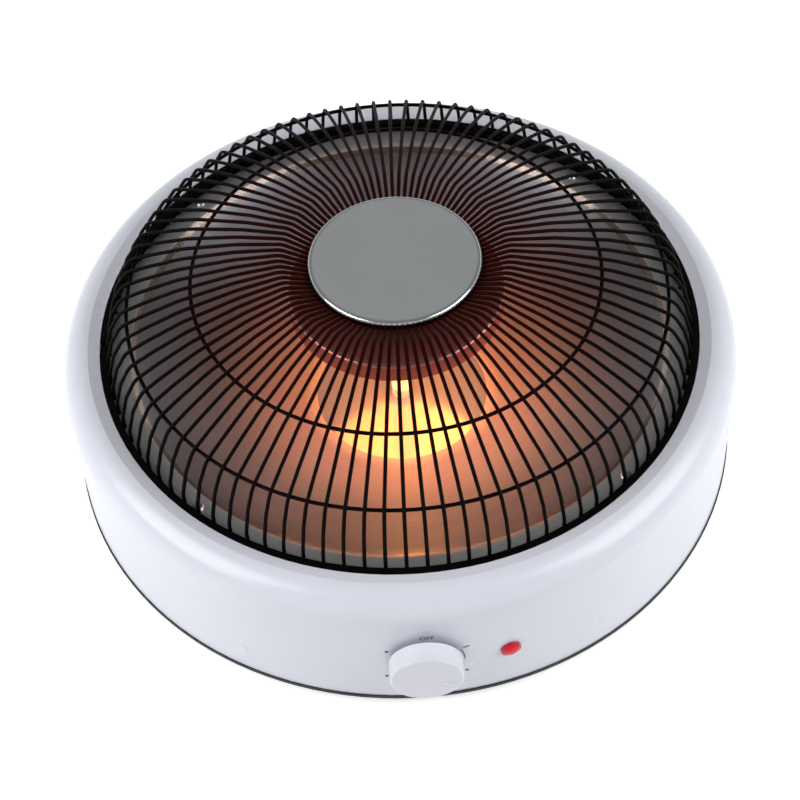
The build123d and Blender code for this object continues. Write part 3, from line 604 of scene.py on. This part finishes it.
def wire_piece(name, lines, radius):
    """Round wires along lines, each (points, closed), as one smooth mesh object."""
    curve = bpy.data.curves.new(name, "CURVE")
    curve.dimensions = "3D"
    curve.bevel_depth = radius
    curve.bevel_resolution = 2
    curve.use_fill_caps = True
    for points, closed in lines:
        spline = curve.splines.new("POLY")
        spline.points.add(len(points) - 1)
        for point, place in zip(spline.points, points):
            point.co = (*place, 1.0)
        spline.use_cyclic_u = closed
    mesh = frozen_mesh(add_object(name, curve))
    mesh.materials.append(guard_enamel)
    for face in mesh.polygons:
        face.use_smooth = True
    return add_object(name, mesh)


def guard_wires():
    """The radial wires: round, with soft bends."""
    profile = rounded_line(WIRE_LINE, WIRE_BENDS)
    lines = []
    for i in range(WIRE_COUNT):
        angle = -math.pi / 2 - WIRE_PHASE + i * 2 * math.pi / WIRE_COUNT
        lines.append((
            [(r * math.cos(angle), r * math.sin(angle), RIM_HEIGHT + h) for r, h in profile],
            False,
        ))
    piece = wire_piece("guard_wire_set", lines, WIRE_RADIUS)
    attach(piece, "heater")
    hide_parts("guard_wires")


def guard_ring(node):
    """A ring of round section in the place of a node."""
    low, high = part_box(node)
    radius = (high.x - low.x) / 2 - RING_RADIUS * RING_INSET
    height = (low.z + high.z) / 2
    turns = [2 * math.pi * i / RING_STEPS for i in range(RING_STEPS)]
    line = [(radius * math.cos(turn), radius * math.sin(turn), height) for turn in turns]
    piece = wire_piece(node + "_wire", [(line, True)], RING_RADIUS)
    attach(piece, "heater")
    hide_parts(node)


# Dial marks

def dial_point(radius, clockwise):
    """Point on the dial's face at a radius and an angle clockwise from the top."""
    angle = math.radians(90.0 - clockwise)
    return Vector((radius * math.cos(angle), radius * math.sin(angle)))


def add_patch(shape, points):
    """A flat face of the marks through points of the dial's face."""
    shape.faces.new([shape.verts.new((*point, 0.0)) for point in points])


def add_letters(shape):
    """The word OFF near the top."""
    letters = bpy.data.curves.new("dial_letters", "FONT")
    letters.body = "OFF"
    letters.size = LETTERS_SIZE
    letters.offset = LETTERS_WEIGHT
    letters.align_x = "CENTER"
    letters.align_y = "CENTER"
    shape.from_mesh(frozen_mesh(add_object("dial_letters", letters)))
    bmesh.ops.translate(shape, vec=LETTERS_PLACE, verts=shape.verts)


def add_dot(shape, clockwise, radius):
    """A round dot."""
    middle = dial_point(radius, clockwise)
    turns = [2 * math.pi * i / DOT_SIDES for i in range(DOT_SIDES)]
    rim = [Vector((math.cos(turn), math.sin(turn))) * DOT_RADIUS for turn in turns]
    add_patch(shape, [middle + point for point in rim])


def add_tick(shape):
    """A short line that points at the axis."""
    across = dial_point(TICK_WIDTH / 2, TICK_ANGLE + 90.0)
    inner, outer = [dial_point(radius, TICK_ANGLE) for radius in TICK_ENDS]
    add_patch(shape, [inner + across, inner - across, outer - across, outer + across])


def add_arc(shape):
    """A thin arc clockwise from the tick."""
    start, end = ARC_ANGLES
    inner, outer = ARC_RADII
    turns = [start + (end - start) * i / ARC_STEPS for i in range(ARC_STEPS + 1)]
    there = [dial_point(inner, turn) for turn in turns]
    back = [dial_point(outer, turn) for turn in reversed(turns)]
    add_patch(shape, there + back)


def dial_marks():
    """The dial's printed marks, drawn flat and stood up on the face that the bush nut lies on."""
    shape = bmesh.new()
    add_letters(shape)
    for clockwise, radius in MARK_DOTS:
        add_dot(shape, clockwise, radius)
    add_tick(shape)
    add_arc(shape)
    low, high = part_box("knob")
    centre = (low + high) / 2
    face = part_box("bush_nut")[1].y
    place = Matrix.Translation((centre.x, face - INK_LIFT, centre.z))
    stand = place @ Matrix.Rotation(math.pi / 2, 4, "X")
    bmesh.ops.transform(shape, matrix=stand, verts=shape.verts)
    bmesh.ops.recalc_face_normals(shape, faces=shape.faces)
    mesh = bpy.data.meshes.new("dial_marks")
    shape.to_mesh(mesh)
    shape.free()
    mesh.materials.append(ink)
    piece = add_object("dial_marks", mesh)
    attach(piece, "heater")


# Floor, world, lamps and camera

def background_share(tree):
    """1 for rays that should see the pale background, and 0 for the others."""
    path = add_node(tree, "ShaderNodeLightPath").outputs
    seen = math_node(tree, "MAXIMUM", path["Is Camera Ray"], path["Is Glossy Ray"])
    return math_node(tree, "MAXIMUM", seen, path["Is Transmission Ray"])


def make_floor():
    """A wide pale floor that keeps the object's shadow."""
    near, far = -FLOOR_HALF, FLOOR_HALF
    mesh = bpy.data.meshes.new("floor")
    corners = [(near, near, 0), (far, near, 0), (far, far, 0), (near, far, 0)]
    mesh.from_pydata(corners, [], [(0, 1, 2, 3)])
    floor = add_object("floor", mesh)
    material, tree, shader = new_material("floor_pale")
    set_shader(
        tree, shader,
        Base_Color=grey(FLOOR_GREY),
        Roughness=0.9,
        Emission_Color=grey(1.0),
        Emission_Strength=spread(tree, background_share(tree), low=0.0, high=FLOOR_GLOW),
    )
    mesh.materials.append(material)


def make_world():
    """A white surround that darkens overhead, and is dimmer as a light than as a background."""
    world = bpy.data.worlds.new("studio")
    bpy.context.scene.world = world
    world.use_nodes = True
    tree = world.node_tree
    direction = add_node(tree, "ShaderNodeTexCoord")
    parts = add_node(tree, "ShaderNodeSeparateXYZ")
    tree.links.new(direction.outputs["Generated"], parts.inputs["Vector"])
    path = add_node(tree, "ShaderNodeLightPath")
    unseen = math_node(tree, "SUBTRACT", 1.0, path.outputs["Is Camera Ray"])
    rise = math_node(tree, "MULTIPLY", parts.outputs["Z"], unseen)
    set_shader(
        tree, tree.nodes["Background"],
        Color=ramp(tree, rise, [(height, grey(level)) for height, level in SKY_LEVELS]),
        Strength=spread(tree, background_share(tree), low=WORLD_SHARE, high=1.0),
    )


def area_light(name, side, power):
    """A soft square lamp on one side, turned to the object."""
    light = bpy.data.lights.new(name, "AREA")
    light.size = LAMP_SIZE
    light.energy = power
    lamp = add_object(name, light)
    lamp.location = (side, LAMP_FRONT, LAMP_HEIGHT)
    lamp.rotation_euler = (LAMP_TARGET - lamp.location).to_track_quat("-Z", "Y").to_euler()


def make_camera():
    """The photograph's camera."""
    data = bpy.data.cameras.new("camera")
    data.sensor_width = SENSOR_WIDTH
    data.lens = FOCAL_PIXELS / FRAME_PIXELS * data.sensor_width
    camera = add_object("camera", data)
    bpy.context.scene.camera = camera
    back = Vector((0, -math.cos(CAMERA_ELEVATION), math.sin(CAMERA_ELEVATION)))
    right = Vector((1, 0, 0))
    up = back.cross(right)
    place = back * CAMERA_DISTANCE
    pan = Matrix.Rotation(CAMERA_PAN, 3, up)
    back, right = pan @ back, pan @ right
    tilt = Matrix.Rotation(CAMERA_TILT, 3, right)
    back, up = tilt @ back, tilt @ up
    roll = Matrix.Rotation(CAMERA_ROLL, 3, -back)
    right, up = roll @ right, roll @ up
    turn = Matrix((right, up, back)).transposed().to_4x4()
    swing = Matrix.Rotation(CAMERA_AZIMUTH, 4, "Z")
    shift = Matrix.Translation((0, 0, RIM_HEIGHT))
    camera.matrix_world = shift @ swing @ Matrix.Translation(place) @ turn


guard_wires()
dial_marks()
guard_ring("guard_ring_inner")
guard_ring("guard_ring_outer")
make_floor()
make_world()
area_light("left", -LAMP_SIDE, LEFT_POWER)
area_light("right", LAMP_SIDE, RIGHT_POWER)
make_camera()

scene = bpy.context.scene
scene.view_settings.view_transform = "Standard"
